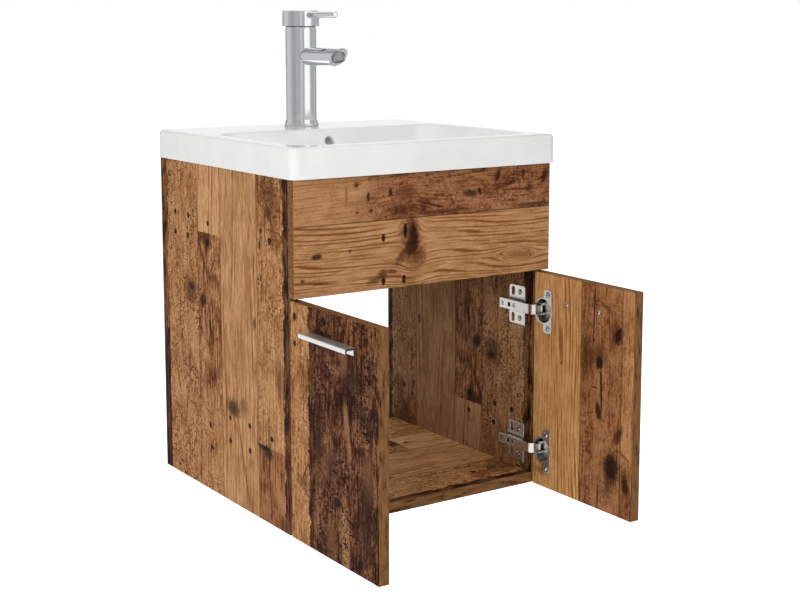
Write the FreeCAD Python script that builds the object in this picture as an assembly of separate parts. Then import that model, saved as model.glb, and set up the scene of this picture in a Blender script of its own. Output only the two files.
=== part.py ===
import FreeCAD, Part
import math
import os

Vector = FreeCAD.Vector

# Wall-hung vanity unit: an open-backed cabinet with two doors, a ceramic basin and a lever mixer tap.
# Millimetres. X runs left to right, Y towards the wall, Z up.
# The origin lies on the wall plane, midway between the two wall screw holes.

# Cabinet carcass
cabinet_width = 410.0
cabinet_depth = 385.0
cabinet_height = 460.0
board = 15.0
front_panel_height = 150.0
back_rail_height = 80.0
wall_screw_spacing = 240.0
wall_screw_radius = 4.0

# Board joints: cam discs with their bolts, and glued dowels
cam_radius = 7.5
cam_thickness = 12.0
cam_setback = 34.0
cam_bolt_radius = 3.0
cam_bolt_depth = 9.0
cam_head_radius = 3.5
cam_head_length = 3.0
cam_recess_length = 7.0
cam_recess_width = 1.6
cam_recess_depth = 2.0
dowel_radius = 4.0
dowel_length = 30.0
dowel_face_depth = 10.0
joint_from_edge = 60.0
dowel_from_cam = 45.0
seat_clearance = 0.05
cam_clearance = 0.3

# Doors, modelled open at a right angle
door_thickness = 15.0
door_reveal = 1.0
door_top_gap = 3.0
door_middle_gap = 2.0
door_swing_clearance = 0.3
edge_rounding = 0.8

# Concealed cup hinges
hinge_from_door_end = 53.5
cup_radius = 17.5
cup_edge_distance = 3.0
cup_depth = 11.5
cup_wall = 0.7
cup_flange = 1.2
cup_flange_radius = 19.0
cup_bar_width = 17.0
cup_bar_height = 62.0
cup_bar_corner = 5.0
cup_screw_offset = 9.5
cup_screw_spacing = 48.0
hinge_pin_radius = 1.25
hinge_pin_fit = 0.05
knuckle_radius = 2.2
knuckle_width = 10.0
lug_gap = 0.3
lug_thickness = 3.6
lug_height = 7.3
arm_sheet = 2.0
arm_width = 14.5
arm_length = 50.5
arm_height = 10.5
arm_neck_width = 14.0
arm_bend_radius = 9.5
plate_sheet = 1.6
plate_width = 39.0
plate_height = 56.0
plate_setback = 12.0
plate_lip = 5.0
plate_corner_radius = 5.0
ridge_width = 10.0
ridge_height = 6.0
ridge_length = 48.0
plate_slot_width = 7.0
plate_slot_length = 13.0
plate_screw_setback = 16.0
plate_slot_setback = 30.5
plate_screw_spacing = 38.0
hinge_screw_radius = 2.0
hinge_screw_length = 12.0
screw_head_radius = 3.8
screw_head_height = 1.6
screw_head_shoulder = 0.6
screw_crown_radius = 2.4
screw_recess_length = 4.2
screw_recess_width = 1.1
screw_recess_depth = 1.1
arm_screw_radius = 3.2
arm_screw_chamfer = 0.5
arm_screw_setbacks = (17.5, 43.5)
arm_window_setback = 29.0
arm_window_size = 6.0

# Door handles, cut from an aluminium profile
handle_length = 109.0
handle_from_door_top = 31.0
handle_reach = 15.5
handle_web = 2.2
handle_rounding = 1.0
handle_lip_height = 6.0
handle_foot_height = 9.0
handle_foot_thickness = 4.0
handle_screw_spacing = 64.0
handle_screw_radius = 2.0
handle_thread_depth = 3.2

# Ceramic basin
basin_overhang_side = 5.0
basin_overhang_front = 7.5
basin_rim_height = 40.0
basin_corner_radius = 12.0
basin_top_rounding = 6.0
basin_rim_width = 25.0
basin_skirt = 20.0
basin_deck_depth = 130.0
basin_deck_thickness = 14.0
bowl_depth = 95.0
bowl_wall = 9.0
bowl_draw_in = 35.0
bowl_draw_in_front = 22.0
bowl_corner_radius = 30.0
bowl_floor_corner_radius = 45.0
bowl_floor_rounding = 22.0
bowl_lip_rounding = 5.0
drain_radius = 22.5
drain_boss_radius = 36.0
overflow_radius = 8.0
overflow_drop = 18.5
overflow_lip_rounding = 2.5
overflow_duct_width = 28.0
overflow_duct_depth = 10.0

# Single-lever mixer tap
tap_from_wall = 54.0
tap_hole_radius = 17.5
tap_radius = 23.5
tap_base_radius = 26.0
tap_base_height = 4.0
tap_flare_height = 6.0
tap_gasket = 1.5
tap_gasket_radius = 25.0
tap_body_top = 132.0
tap_pivot_height = 140.0
dome_wall = 2.5
dome_opening_radius = 13.0
cartridge_radius = 17.0
cartridge_height = 32.0
cartridge_fit = 0.3
cartridge_nut_height = 7.5
stem_disc_radius = 12.0
stem_disc_height = 4.0
stem_cheek = 3.5
stem_cheek_depth = 9.0
stem_cheek_above_pin = 5.0
stalk_width = 8.0
stalk_below_pin = 6.0
lever_pin_radius = 1.5
lever_pin_fit = 0.05
cap_radius = 28.0
cap_wall = 3.0
cap_bottom = 147.0
cap_top = 170.0
cap_roof = 5.4
cap_rounding = 2.0
lever_radius = 5.0
lever_reach = 99.0
lever_height = 163.0
lever_seat_depth = 6.0
lever_tip_rounding = 2.5
spout_radius = 13.2
spout_height = 103.0
spout_reach_top = 118.0
spout_reach_bottom = 94.0
aerator_radius = 8.4
aerator_gap = 1.2
aerator_tilt = 20.0
aerator_seat_depth = 5.0
aerator_proud = 6.5
aerator_rim = 1.4
aerator_recess = 1.8
aerator_rounding = 0.8
inlet_radius = 4.5
inlet_depth = 14.0
inlet_offset = 8.5
inlet_setback = 5.0
stud_radius = 4.0
stud_offset = 8.0
stud_grip = 14.0
stud_length = 78.0
clamp_radius = 24.0
clamp_mouth = 30.0
clamp_rubber = 3.0
clamp_steel = 2.0
stud_nut_flats = 13.0
stud_nut_height = 8.0

# Push-open basin waste
waste_flange_radius = 32.0
waste_flange_height = 3.0
waste_flange_rounding = 2.4
waste_tail_radius = 20.95
waste_tail_wall = 3.4
waste_tail_length = 82.0
waste_relief_width = 3.0
waste_relief_depth = 0.8
waste_slot_width = 12.0
waste_seal_radius = 33.0
waste_seal_height = 5.0
waste_nut_radius = 30.0
waste_nut_height = 9.0
waste_nut_ribs = 8
plug_radius = 29.0
plug_height = 6.0
plug_rounding = 3.6
plug_gap = 0.4
plug_stem_radius = 6.0
plug_stem_length = 34.0
plug_fit = 0.08
guide_wall = 2.5
guide_height = 12.0
guide_drop = 14.0
guide_arm_width = 3.0
guide_arms = 3

# Places worked out from the sizes above
half_width = cabinet_width / 2
inner_x = half_width - board
top_z = back_rail_height / 2
bottom_z = top_z - cabinet_height
front_y = -cabinet_depth
side_front_y = front_y + board
front_panel_bottom_z = top_z - front_panel_height
deck_z = top_z + basin_rim_height

# A door turns about a pin that lies as deep in the door as it lies in from the hinge edge.
# The door then swings from flush with the side to parallel with the front panel.
pivot_inset = (door_thickness - door_reveal) / 2
door_gap = pivot_inset * (math.sqrt(2) - 1) + door_swing_clearance
door_width = half_width - door_reveal - door_middle_gap / 2
door_height = cabinet_height - front_panel_height - door_top_gap
door_edge_y = side_front_y - door_gap
door_top_z = bottom_z + door_height
pivot_x = -half_width + door_reveal + pivot_inset
pivot_y = door_edge_y - pivot_inset
cup_y = door_edge_y - cup_edge_distance - cup_radius
hinge_levels = {"lower": bottom_z + hinge_from_door_end, "upper": door_top_z - hinge_from_door_end}
handle_y = door_edge_y - door_width / 2
handle_top_z = door_top_z - handle_from_door_top

bowl_back_y = -basin_deck_depth
bowl_front_y = front_y - basin_overhang_front + basin_rim_width
bowl_half_width = half_width + basin_overhang_side - basin_rim_width
bowl_floor_z = deck_z - bowl_depth
drain_y = (bowl_back_y - bowl_draw_in + bowl_front_y + bowl_draw_in_front) / 2
waste_seat_z = bowl_floor_z - bowl_wall - overflow_duct_depth - bowl_wall
tap_axis = Vector(0, -tap_from_wall, deck_z)

X_AXIS = Vector(1, 0, 0)
Y_AXIS = Vector(0, 1, 0)
Z_AXIS = Vector(0, 0, 1)


def box(x_range, y_range, z_range):
    low = Vector(min(x_range), min(y_range), min(z_range))
    high = Vector(max(x_range), max(y_range), max(z_range))
    size = high - low
    return Part.makeBox(size.x, size.y, size.z, low)


def rod(radius, start, end):
    reach = end - start
    return Part.makeCylinder(radius, reach.Length, start, reach)


def ring(outer, inner, start, end):
    return rod(outer, start, end).cut(rod(inner, start, end))


def around(middle, width):
    return (middle - width / 2, middle + width / 2)


def mirrored(shape):
    return shape.mirror(Vector(0, 0, 0), X_AXIS)


def raised(shapes, level):
    return [shape.translated(Z_AXIS * level) for shape in shapes]


def joined(shapes):
    return shapes[0].multiFuse(shapes[1:]).removeSplitter()


def edges_along(shape, axis, keep=lambda edge: True):
    chosen = []
    for edge in shape.Edges:
        if edge.Curve.TypeId != "Part::GeomLine":
            continue
        direction = edge.tangentAt(edge.FirstParameter)
        if abs(abs(direction.dot(axis)) - 1) < 1e-6 and keep(edge):
            chosen.append(edge)
    return chosen


def rounded_outline(x_range, y_range, z, radius):
    """Closed rectangle with round corners, at height z."""
    x0, x1 = x_range
    y0, y1 = y_range
    slab = Part.makeBox(x1 - x0, y1 - y0, 1, Vector(x0, y0, z))
    slab = slab.makeFillet(radius, edges_along(slab, Z_AXIS))
    for face in slab.Faces:
        if abs(face.CenterOfMass.z - z) < 1e-6:
            return face.OuterWire


def turned(points, origin):
    """Solid of revolution about the vertical through origin; points are (radius, height) pairs."""
    profile = []
    for radius, height in points:
        profile.append(origin + Vector(radius, 0, height))
    profile.append(profile[0])
    return Part.Face(Part.makePolygon(profile)).revolve(origin, Z_AXIS, 360)


def softened(panel):
    """Board with its long edges eased, as edge banding leaves them."""
    return panel.makeFillet(edge_rounding, panel.Edges)


def save(name, *solids):
    shape = solids[0] if len(solids) == 1 else Part.makeCompound(list(solids))
    shape.exportStep(os.path.join("parts", name + ".step"))


# Board joints


def board_joints():
    """Each joint: the point on the board edge, the way into the cam's board, and the cam's open side."""
    mid = board / 2
    cams = []
    dowels = []
    for side in (-1, 1):
        inward = Vector(-side, 0, 0)
        for y, step in ((side_front_y + joint_from_edge, 1), (-joint_from_edge, -1)):
            edge = Vector(side * inner_x, y, bottom_z + mid)
            cams.append((edge, inward, -Z_AXIS))
            dowels.append((edge + Y_AXIS * step * dowel_from_cam, inward))
        for z in (front_panel_bottom_z + front_panel_height / 2 - dowel_from_cam,
                  front_panel_bottom_z + front_panel_height / 2 + dowel_from_cam):
            cams.append((Vector(side * (inner_x + mid), side_front_y, z), Y_AXIS, inward))
        middle = front_panel_bottom_z + front_panel_height / 2
        dowels.append((Vector(side * (inner_x + mid), side_front_y, middle), Y_AXIS))
        rail_middle = top_z - back_rail_height / 2
        cams.append((Vector(side * inner_x, -mid, rail_middle - dowel_from_cam / 2), inward, -Y_AXIS))
        dowels.append((Vector(side * inner_x, -mid, rail_middle + dowel_from_cam / 2), inward))
    return cams, dowels


def cross_recess(face, out, length, width, depth):
    """Cutter for a driver's cross in a face whose outward direction lies along an axis."""
    slots = []
    for turn in range(3):
        spans = []
        for index in range(3):
            size = length if index == turn else width
            spans.append(around(face[index], 2 * depth if abs(out[index]) > 0.5 else size))
        if abs(out[turn]) < 0.5:
            slots.append(box(*spans))
    return slots[0].fuse(slots[1])


def cam_disc(edge, into, shown):
    centre = edge + into * cam_setback
    outer = centre + shown * (board / 2)
    disc = rod(cam_radius, outer, outer - shown * cam_thickness)
    slot = rod(cam_head_radius + cam_clearance, edge, centre + into * cam_clearance)
    cross = cross_recess(outer, shown, cam_recess_length, cam_recess_width, cam_recess_depth)
    return disc.cut([slot, cross])


def cam_bolt(edge, into):
    tip = edge + into * cam_setback
    shank = rod(cam_bolt_radius, edge - into * cam_bolt_depth, tip - into * cam_head_length)
    return joined([shank, rod(cam_head_radius, tip - into * cam_head_length, tip)])


def cam_holes(edge, into, shown):
    centre = edge + into * cam_setback
    outer = centre + shown * (board / 2)
    pocket = rod(cam_radius + seat_clearance, outer, outer - shown * (cam_thickness + seat_clearance))
    passage = rod(cam_head_radius + seat_clearance, edge, centre)
    thread = rod(cam_bolt_radius + seat_clearance, edge - into * (cam_bolt_depth + seat_clearance), edge)
    return [pocket, passage, thread]


def dowel(edge, into, clearance=0.0):
    start = edge - into * (dowel_face_depth + clearance)
    return rod(dowel_radius + clearance, start, edge + into * (dowel_length - dowel_face_depth + clearance))


def joint_holes():
    cams, dowels = board_joints()
    cutters = []
    for edge, into, shown in cams:
        cutters.extend(cam_holes(edge, into, shown))
    for edge, into in dowels:
        cutters.append(dowel(edge, into, seat_clearance))
    return Part.makeCompound(cutters)


# Carcass


def side_panel(holes):
    panel = softened(box((-half_width, -inner_x), (side_front_y, 0), (bottom_z, top_z)))
    cutters = [holes]
    for level in hinge_levels.values():
        cutters.extend(raised(plate_screws(seat_clearance), level))
    return panel.cut(cutters)


def bottom_panel(holes):
    return box((-inner_x, inner_x), (side_front_y, 0), (bottom_z, bottom_z + board)).cut(holes)


def front_panel(holes):
    panel = box((-half_width, half_width), (front_y, side_front_y), (front_panel_bottom_z, top_z))
    return softened(panel).cut(holes)


def back_rail(holes):
    rail = box((-inner_x, inner_x), (-board, 0), (top_z - back_rail_height, top_z)).cut(holes)
    for side in (-1, 1):
        x = side * wall_screw_spacing / 2
        rail = rail.cut(rod(wall_screw_radius, Vector(x, -board, 0), Vector(x, 0, 0)))
    return rail


# Doors and handles, drawn for the left door


def door():
    panel = box((-half_width, -half_width + door_thickness), (door_edge_y - door_width, door_edge_y),
                (bottom_z, door_top_z))
    panel = softened(panel)
    for level in hinge_levels.values():
        mouth = Vector(-half_width + door_thickness, cup_y, level)
        floor = mouth - X_AXIS * (cup_depth + seat_clearance)
        panel = panel.cut(rod(cup_radius + seat_clearance, floor, mouth))
        panel = panel.cut(raised(cup_screws(seat_clearance), level))
    return panel.cut(handle_screws(seat_clearance))


def handle():
    """Hook-shaped profile: a foot on the door, a web standing out and a lip turned down."""
    face = -half_width
    tip = face - handle_reach
    y_range = around(handle_y, handle_length)
    foot_z = (handle_top_z - handle_foot_height, handle_top_z)
    foot = box((face - handle_foot_thickness, face), y_range, foot_z)
    web = box((tip, face), y_range, (handle_top_z - handle_web, handle_top_z))
    lip = box((tip, tip + handle_web), y_range, (handle_top_z - handle_lip_height, handle_top_z))
    profile = joined([foot, web, lip])
    outer = edges_along(profile, Y_AXIS, lambda edge: abs(edge.CenterOfMass.x - tip) < 1e-6)
    profile = profile.makeFillet(handle_rounding, outer)
    return profile.cut(handle_screws(seat_clearance))


def handle_screws(clearance=0.0):
    inside = -half_width + door_thickness
    z = handle_top_z - handle_foot_height / 2 - handle_web / 2
    screws = []
    for y in around(handle_y, handle_screw_spacing):
        head = Vector(inside, y, z)
        tip = Vector(-half_width - handle_thread_depth - clearance, y, z)
        screw = rod(handle_screw_radius + clearance, tip, head)
        if clearance == 0:
            screw = joined([screw, screw_head(head, X_AXIS)])
        screws.append(screw)
    return screws


# Hinges, drawn for the left door at height 0


def screw_head(seat, out):
    """Low pan head: a short cylinder under a cone, with a cross for the driver."""
    shoulder = seat + out * screw_head_shoulder
    crown = Part.makeCone(screw_head_radius, screw_crown_radius, screw_head_height - screw_head_shoulder,
                          shoulder, out)
    head = rod(screw_head_radius, seat, shoulder).fuse(crown)
    top = seat + out * screw_head_height
    return head.cut(cross_recess(top, out, screw_recess_length, screw_recess_width, screw_recess_depth))


def hinge_pin(clearance=0.0):
    half = knuckle_width / 2 + lug_gap + lug_thickness + clearance
    low = Vector(pivot_x, pivot_y, -half)
    return rod(hinge_pin_radius + clearance, low, low + Z_AXIS * 2 * half)


def hinge_cup():
    face_x = -half_width + door_thickness
    mouth = Vector(face_x, cup_y, 0)
    out = X_AXIS
    shell = rod(cup_radius, mouth - out * cup_depth, mouth)
    inside = rod(cup_radius - cup_wall, mouth - out * (cup_depth - cup_wall), mouth + out * cup_flange)
    rim = rod(cup_flange_radius, mouth, mouth + out * cup_flange)
    trim_y = door_edge_y - cup_edge_distance
    rim = rim.common(box((face_x, face_x + cup_flange), (trim_y - 2 * cup_flange_radius, trim_y),
                         around(0, 2 * cup_flange_radius)))
    bar = box((face_x, face_x + cup_flange), around(cup_y - cup_screw_offset, cup_bar_width),
              around(0, cup_bar_height))
    bar = bar.makeFillet(cup_bar_corner, edges_along(bar, X_AXIS))
    cup = joined([shell, rim, bar]).cut(inside)
    mid_wall = rod(cup_radius - cup_wall / 2, mouth - out * (cup_depth - cup_wall / 2), mouth)
    lug_x = (face_x - cup_depth, face_x - cup_depth + cup_wall + lug_height)
    lugs = []
    for sign in (-1, 1):
        near = sign * (knuckle_width / 2 + lug_gap)
        lug = box(lug_x, (pivot_y - 2 * knuckle_radius, door_edge_y), (near, near + sign * lug_thickness))
        lugs.append(lug.common(mid_wall))
    cutters = [hinge_pin(seat_clearance)] + cup_screws(seat_clearance)
    return joined([cup] + lugs).cut(cutters)


def cup_screws(clearance=0.0):
    face_x = -half_width + door_thickness
    screws = []
    for z in around(0, cup_screw_spacing):
        seat = Vector(face_x + cup_flange, cup_y - cup_screw_offset, z)
        tip = seat - X_AXIS * (hinge_screw_length + clearance)
        screw = rod(hinge_screw_radius + clearance, tip, seat)
        if clearance == 0:
            screw = joined([screw, screw_head(seat, X_AXIS)])
        screws.append(screw)
    return screws


def plate_y(setback):
    return side_front_y + plate_setback + setback


def hinge_plate():
    """Winged mounting plate: flat sheet with a turned-up front edge, slots and a ridge for the arm."""
    y_range = (plate_y(0), plate_y(plate_width))
    sheet = box((-inner_x, -inner_x + plate_sheet), y_range, around(0, plate_height))
    rear = edges_along(sheet, X_AXIS, lambda edge: edge.CenterOfMass.y > plate_y(plate_width / 2))
    sheet = sheet.makeFillet(plate_corner_radius, rear)
    lip = box((-inner_x, -inner_x + plate_lip), (plate_y(0), plate_y(plate_sheet)), around(0, plate_height))
    ridge = box((-inner_x, -inner_x + ridge_height), (plate_y(0), plate_y(ridge_length)),
                around(0, ridge_width))
    plate = joined([sheet, lip, ridge])
    for z in around(0, plate_screw_spacing):
        start = Vector(-inner_x, plate_y(plate_slot_setback), z)
        half = (plate_slot_length - plate_slot_width) / 2
        for shift in (-half, half):
            end = start + Z_AXIS * shift
            plate = plate.cut(rod(plate_slot_width / 2, end, end + X_AXIS * plate_sheet))
        plate = plate.cut(box((-inner_x, -inner_x + plate_sheet), around(start.y, plate_slot_width),
                              around(z, 2 * half)))
    cutters = plate_screws(seat_clearance) + arm_screws(seat_clearance)
    return plate.cut(cutters)


def plate_screws(clearance=0.0):
    screws = []
    for z in around(0, plate_screw_spacing):
        seat = Vector(-inner_x + plate_sheet, plate_y(plate_screw_setback), z)
        tip = seat - X_AXIS * (hinge_screw_length + clearance)
        screw = rod(hinge_screw_radius + clearance, tip, seat)
        if clearance == 0:
            screw = joined([screw, screw_head(seat, X_AXIS)])
        screws.append(screw)
    return screws


def arm_screws(clearance=0.0):
    """Two screws through the arm's web into the ridge: one sets the overlay, one fixes the arm."""
    screws = []
    for setback in arm_screw_setbacks:
        top = Vector(-inner_x + arm_height, plate_y(setback), 0)
        tip = top - X_AXIS * (arm_height - plate_sheet + clearance)
        screw = rod(arm_screw_radius + clearance, tip, top)
        if clearance == 0:
            rim = [edge for edge in screw.Edges if (edge.CenterOfMass - top).Length < 1e-6]
            screw = screw.makeChamfer(arm_screw_chamfer, rim)
            cross = cross_recess(top, X_AXIS, screw_recess_length, screw_recess_width, screw_recess_depth)
            screw = screw.cut(cross)
        screws.append(screw)
    return screws


def hinge_arm():
    """Channel over the ridge, with a cranked neck that ends in the knuckle inside the cup."""
    web_x = (-inner_x + arm_height - arm_sheet, -inner_x + arm_height)
    y_range = (plate_y(0), plate_y(arm_length))
    web = box(web_x, y_range, around(0, arm_width))
    sides = []
    for sign in (-1, 1):
        outer = sign * arm_width / 2
        sides.append(box((-inner_x + plate_lip, web_x[1]), y_range, (outer, outer - sign * arm_sheet)))
    neck_z = around(0, arm_neck_width)
    bend_x = web_x[0] - arm_bend_radius + arm_sheet
    bend_y = pivot_y - arm_sheet / 2 + arm_bend_radius
    straight = box(web_x, (bend_y, plate_y(0)), neck_z)
    knuckle_z = around(0, knuckle_width)
    reach = box((pivot_x, bend_x), around(pivot_y, arm_sheet), knuckle_z)
    low = Vector(bend_x, bend_y, neck_z[0])
    high = Vector(bend_x, bend_y, neck_z[1])
    bend = ring(arm_bend_radius, arm_bend_radius - arm_sheet, low, high)
    bend = bend.common(box((bend_x, bend_x + arm_bend_radius), (bend_y - arm_bend_radius, bend_y), neck_z))
    axis_low = Vector(pivot_x, pivot_y, knuckle_z[0])
    axis_high = Vector(pivot_x, pivot_y, knuckle_z[1])
    knuckle = rod(knuckle_radius, axis_low, axis_high)
    arm = joined([web] + sides + [straight, bend, reach, knuckle])
    arm = arm.cut(rod(hinge_pin_radius + hinge_pin_fit, axis_low, axis_high))
    window = box(web_x, around(plate_y(arm_window_setback), arm_window_size), around(0, arm_window_size))
    return arm.cut([window] + arm_screws(seat_clearance))


# Basin


def bowl_section(z, drop, growth, radius):
    """Bowl outline: drop is 0 at the deck and 1 at the floor, growth widens it for the outside."""
    x = bowl_half_width - bowl_draw_in * drop + growth
    y_range = (bowl_front_y + bowl_draw_in_front * drop - growth, bowl_back_y - bowl_draw_in * drop + growth)
    return rounded_outline((-x, x), y_range, z, radius + growth)


def bowl_solid(top, growth):
    top_drop = (deck_z - top) / bowl_depth
    top_radius = bowl_corner_radius + (bowl_floor_corner_radius - bowl_corner_radius) * top_drop
    sections = [
        bowl_section(top, top_drop, growth, top_radius),
        bowl_section(bowl_floor_z - growth, 1, growth, bowl_floor_corner_radius),
    ]
    solid = Part.makeLoft(sections, True, True)
    floor = [edge for edge in solid.Edges
             if abs(edge.BoundBox.ZMax - bowl_floor_z + growth) < 1e-4]
    return solid.makeFillet(bowl_floor_rounding, floor)


def bowl_back_at(z):
    return bowl_back_y - bowl_draw_in * (deck_z - z) / bowl_depth


def overflow_duct(growth):
    """Passage behind the bowl, from the overflow hole down and under the floor to the drain."""
    top = deck_z - overflow_drop + overflow_radius + growth
    under = bowl_floor_z - bowl_wall
    near = bowl_wall - growth
    far = bowl_wall + overflow_duct_depth + growth
    bottom = under - overflow_duct_depth - growth
    outline = [
        (bowl_back_at(top) + near, top),
        (bowl_back_at(top) + far, top),
        (bowl_back_at(under) + far, under - overflow_duct_depth / 2),
        (bowl_back_at(under), bottom),
        (drain_y, bottom),
        (drain_y, under + growth),
        (bowl_back_at(under) + near, under + growth),
    ]
    half = overflow_duct_width / 2 + growth
    points = [Vector(-half, y, z) for y, z in outline]
    return Part.Face(Part.makePolygon(points + points[:1])).extrude(X_AXIS * 2 * half)


def overflow_hole():
    """Round hole square to the bowl's back wall, flared at its mouth, that runs into the duct."""
    z = deck_z - overflow_drop
    slope = math.atan2(bowl_draw_in, bowl_depth)
    back = Vector(0, math.cos(slope), -math.sin(slope))
    mouth = Vector(0, bowl_back_at(z), z)
    flare_radius = overflow_radius + overflow_lip_rounding
    flare_end = mouth + back * (overflow_lip_rounding - seat_clearance)
    flare = rod(flare_radius, mouth - back * overflow_lip_rounding, flare_end)
    flare = flare.cut(Part.makeTorus(flare_radius, overflow_lip_rounding, flare_end, back))
    return flare.fuse(rod(overflow_radius, mouth, mouth + back * (bowl_wall + overflow_duct_depth / 2)))


def basin():
    outer_x = half_width + basin_overhang_side
    outer_front = front_y - basin_overhang_front
    rim = box((-outer_x, outer_x), (outer_front, 0), (top_z, deck_z))
    rim = rim.makeFillet(basin_corner_radius, edges_along(rim, Z_AXIS))
    upper = [edge for edge in rim.Edges
             if edge.BoundBox.ZMin > deck_z - 1e-4 and edge.BoundBox.YMin < -1e-4]
    rim = rim.makeFillet(basin_top_rounding, upper)
    hollow = box((-outer_x + basin_skirt, outer_x - basin_skirt), (outer_front + basin_skirt, -basin_skirt),
                 (top_z, deck_z - basin_deck_thickness))
    boss_top = Vector(0, drain_y, bowl_floor_z)
    boss = rod(drain_boss_radius, Vector(0, drain_y, waste_seat_z), boss_top - Z_AXIS * bowl_wall / 2)
    body = rim.cut(hollow)
    outside = bowl_solid(deck_z - basin_deck_thickness / 2, bowl_wall)
    body = body.fuse([outside, overflow_duct(bowl_wall), boss])
    cavity = bowl_solid(deck_z, 0)
    body = body.cut(cavity).cut(overflow_duct(0))
    lip = [edge for edge in body.Edges
           if edge.BoundBox.ZMin > deck_z - 1e-4 and edge.BoundBox.XMax < outer_x - basin_top_rounding - 1
           and edge.BoundBox.XMin > -outer_x + basin_top_rounding + 1
           and edge.BoundBox.YMax < bowl_back_y + 1 and edge.BoundBox.YMin > bowl_front_y - 1]
    body = body.makeFillet(bowl_lip_rounding, lip)
    drain = rod(drain_radius, Vector(0, drain_y, waste_seat_z), boss_top + Z_AXIS)
    tap_hole = rod(tap_hole_radius, tap_axis - Z_AXIS * basin_deck_thickness, tap_axis)
    return body.cut([overflow_hole(), drain, tap_hole])


# Tap


def tap_gasket_ring():
    return ring(tap_gasket_radius, tap_hole_radius, tap_axis, tap_axis + Z_AXIS * tap_gasket)


def spout_end():
    """Centre and outward direction of the slanted end, and the aerator's way out, nearer the vertical."""
    middle = (spout_reach_top + spout_reach_bottom) / 2
    slant = Vector(0, -(spout_reach_top - spout_reach_bottom), 2 * spout_radius)
    out = slant.cross(X_AXIS).normalize()
    if out.y > 0:
        out = -out
    tilt = math.radians(aerator_tilt)
    return tap_axis + Vector(0, -middle, spout_height), out, Vector(0, -math.sin(tilt), -math.cos(tilt))


def tap_body():
    flare_top = tap_base_height + tap_flare_height
    column = turned([(0, tap_gasket), (tap_base_radius, tap_gasket), (tap_base_radius, tap_base_height),
                     (tap_radius, flare_top), (tap_radius, tap_body_top), (0, tap_body_top)], tap_axis)
    start = tap_axis + Z_AXIS * spout_height
    spout = rod(spout_radius, start, start - Y_AXIS * spout_reach_top)
    centre, out, down = spout_end()
    beyond = rod(2 * spout_reach_top, centre, centre + out * spout_reach_top)
    body = joined([column, spout.cut(beyond)])
    seat_top = centre - down * aerator_seat_depth
    seat = rod(aerator_radius + aerator_gap, seat_top, centre + down * spout_radius)
    bore_bottom = tap_axis + Z_AXIS * (tap_body_top - cartridge_nut_height - cartridge_height)
    bore = rod(cartridge_radius + cartridge_fit, bore_bottom, tap_axis + Z_AXIS * tap_body_top)
    cutters = [seat, bore, tap_stud(seat_clearance)]
    for side in (-1, 1):
        mouth = tap_axis + Vector(side * inlet_offset, inlet_setback, tap_gasket)
        cutters.append(rod(inlet_radius, mouth, mouth + Z_AXIS * inlet_depth))
    return body.cut(cutters)


def aerator():
    centre, _, out = spout_end()
    insert = rod(aerator_radius, centre - out * aerator_seat_depth, centre + out * aerator_proud)
    rim = [edge for edge in insert.Edges if (edge.CenterOfMass - centre - out * aerator_proud).Length < 1e-6]
    insert = insert.makeFillet(aerator_rounding, rim)
    face = centre + out * aerator_proud
    mouth = rod(aerator_radius - aerator_rim, face - out * aerator_recess, face)
    return insert.cut(mouth)


def tap_cartridge():
    bottom = tap_body_top - cartridge_nut_height - cartridge_height
    return rod(cartridge_radius, tap_axis + Z_AXIS * bottom, tap_axis + Z_AXIS * (bottom + cartridge_height))


def cartridge_nut():
    top = tap_axis + Z_AXIS * tap_body_top
    return ring(cartridge_radius, dome_opening_radius, top - Z_AXIS * cartridge_nut_height, top)


def dome_cover():
    """Round shoulder over the cartridge, centred on the lever's pivot so that the cap clears it."""
    pivot = tap_axis + Z_AXIS * tap_pivot_height
    collar = tap_axis + Z_AXIS * tap_body_top
    outer = rod(tap_radius, collar, pivot).fuse(Part.makeSphere(tap_radius, pivot))
    inner = rod(tap_radius - dome_wall, collar, pivot).fuse(Part.makeSphere(tap_radius - dome_wall, pivot))
    above = box(around(tap_axis.x, 4 * tap_radius), around(tap_axis.y, 4 * tap_radius),
                (collar.z, collar.z + 2 * tap_radius))
    opening = rod(dome_opening_radius, collar, collar + Z_AXIS * 2 * tap_radius)
    return outer.cut(inner).common(above).cut(opening).removeSplitter()


def tap_stem():
    """Turning fork on top of the cartridge that carries the lever's cross pin."""
    seat = tap_axis + Z_AXIS * (tap_body_top - cartridge_nut_height)
    pieces = [rod(stem_disc_radius, seat, seat + Z_AXIS * stem_disc_height)]
    top = tap_axis.z + tap_pivot_height + stem_cheek_above_pin
    for side in (-1, 1):
        near = side * (stalk_width / 2 + lug_gap)
        cheek_x = (near, near + side * stem_cheek)
        pieces.append(box(cheek_x, around(tap_axis.y, stem_cheek_depth), (seat.z, top)))
    fork = joined(pieces)
    return fork.cut(lever_pin(lever_pin_fit))


def lever_pin(clearance=0.0):
    half = stalk_width / 2 + lug_gap + stem_cheek
    centre = tap_axis + Z_AXIS * tap_pivot_height
    return rod(lever_pin_radius + clearance, centre - X_AXIS * half, centre + X_AXIS * half)


def lever_rod(clearance=0.0):
    start = tap_axis + Vector(0, lever_seat_depth + clearance - cap_radius, lever_height)
    end = tap_axis + Vector(0, -lever_reach, lever_height)
    bar = rod(lever_radius + clearance, start, end)
    if clearance == 0:
        tip = [edge for edge in bar.Edges if (edge.CenterOfMass - end).Length < 1e-6]
        bar = bar.makeFillet(lever_tip_rounding, tip)
    return bar


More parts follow.
